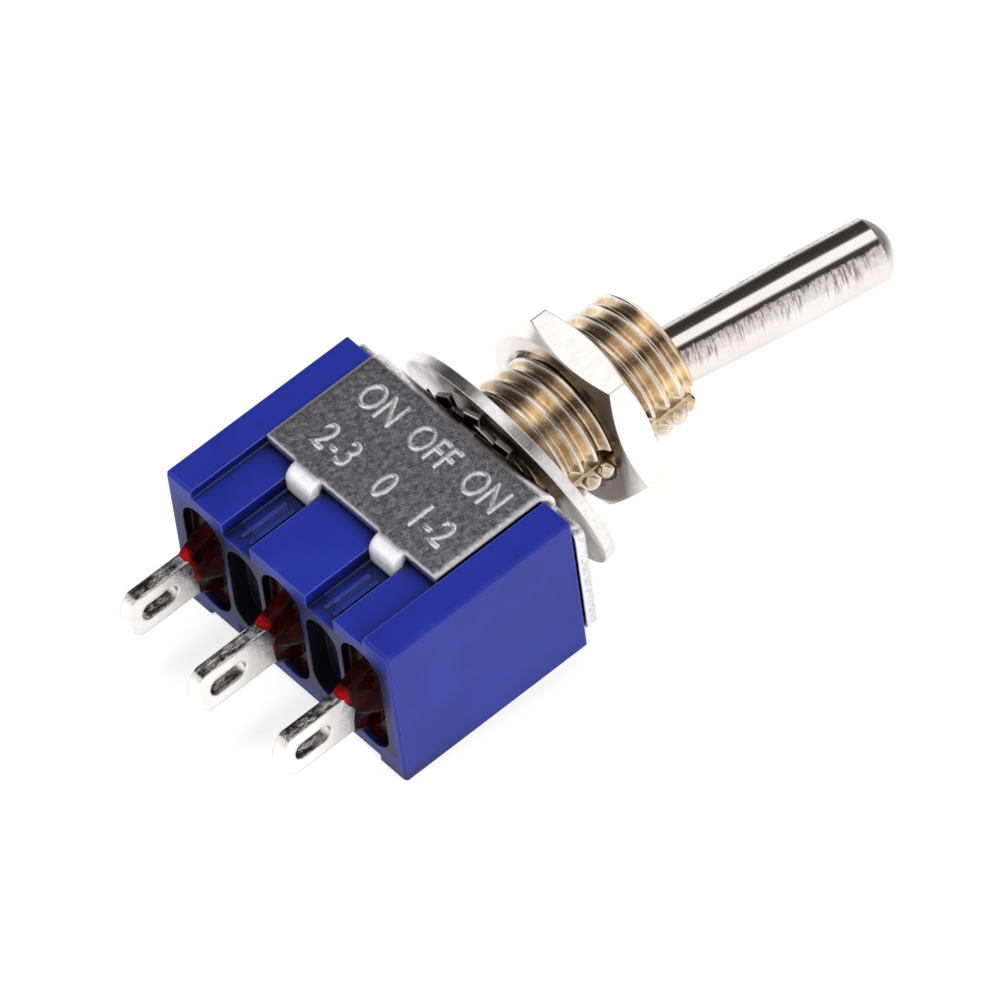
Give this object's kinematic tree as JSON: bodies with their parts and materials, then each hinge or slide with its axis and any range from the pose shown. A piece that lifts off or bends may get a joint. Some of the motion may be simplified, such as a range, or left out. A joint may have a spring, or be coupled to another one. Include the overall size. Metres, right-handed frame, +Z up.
{
  "type": "toggle switch",
  "caption": "Miniature panel toggle switch with a blue moulded case, stamped frame, threaded bushing, tapered lever, hardware and solder lugs.",
  "frame": {"origin": "on the bushing's axis at the top face of the frame plate, where a panel's inside face seats", "axes": "+Y is the long way of the switch, from the solder lugs to the lever, level with the table; +X along the row of solder lugs; +Z up from the table, through the stamped wall of the frame; the bushing's axis leans 6.63 degrees up from +Y"},
  "size_m": [0.0132, 0.034, 0.0104],
  "materials": {
    "case_plastic": "satin moulded ultramarine blue",
    "plated_steel": "tin-plated stamped steel",
    "nickel_brass": "nickel-plated turned brass",
    "polished_nickel": "polished nickel plate",
    "pin_steel": "plain steel",
    "nylon": "natural nylon",
    "silver": "silver contact",
    "silver_plate": "silver-plated copper alloy",
    "seal_resin": "dark red potting resin",
    "bright_nickel": "bright nickel plate"
  },
  "bodies": {
    "body": {"case": "case_plastic", "frame_plate": "plated_steel", "bushing": "nickel_brass", "fixed_contact_left": "silver", "fixed_contact_right": "silver", "terminal_left": "silver_plate", "terminal_common": "silver_plate", "terminal_right": "silver_plate", "terminal_seal_left": "seal_resin", "terminal_seal_common": "seal_resin", "terminal_seal_right": "seal_resin", "lock_washer": "plated_steel", "locating_washer": "plated_steel"},
    "lever": {"toggle_lever": "polished_nickel", "pivot_pin": "pin_steel", "plunger_spring": "pin_steel"},
    "plunger": {"plunger_tip": "nylon"},
    "rocker": {"contact_rocker": "nickel_brass", "rocker_contact_left": "silver", "rocker_contact_right": "silver"},
    "nut": {"hex_nut": "bright_nickel"}
  },
  "joints": [
    {"name": "lever_toggle", "type": "hinge", "parent": "body", "child": "lever", "pos_m": [0, 0.00482, 0.00056], "axis": [0, 0.1155, -0.9933], "range_deg": [-20, 0]},
    {"name": "plunger_slide", "type": "slide", "parent": "lever", "child": "plunger", "axis": [0.1736, 0.9782, 0.1137], "range_m": [0, 0.0004], "stiffness_N_per_m": 200, "springref_m": -0.0004, "deforming": ["plunger_spring"]},
    {"name": "rocker_tilt", "type": "hinge", "parent": "body", "child": "rocker", "pos_m": [0, -0.00625, -0.00073], "axis": [0, 0.1155, -0.9933], "range_deg": [0, 14]},
    {"name": "nut_travel", "type": "slide", "parent": "body", "child": "nut", "axis": [0, 0.9933, 0.1155], "range_m": [-0.0011, 0.0038]}
  ],
  "couplings": [
    {"joint": "rocker_tilt", "follows": "lever_toggle", "ratio": -0.7}
  ]
}
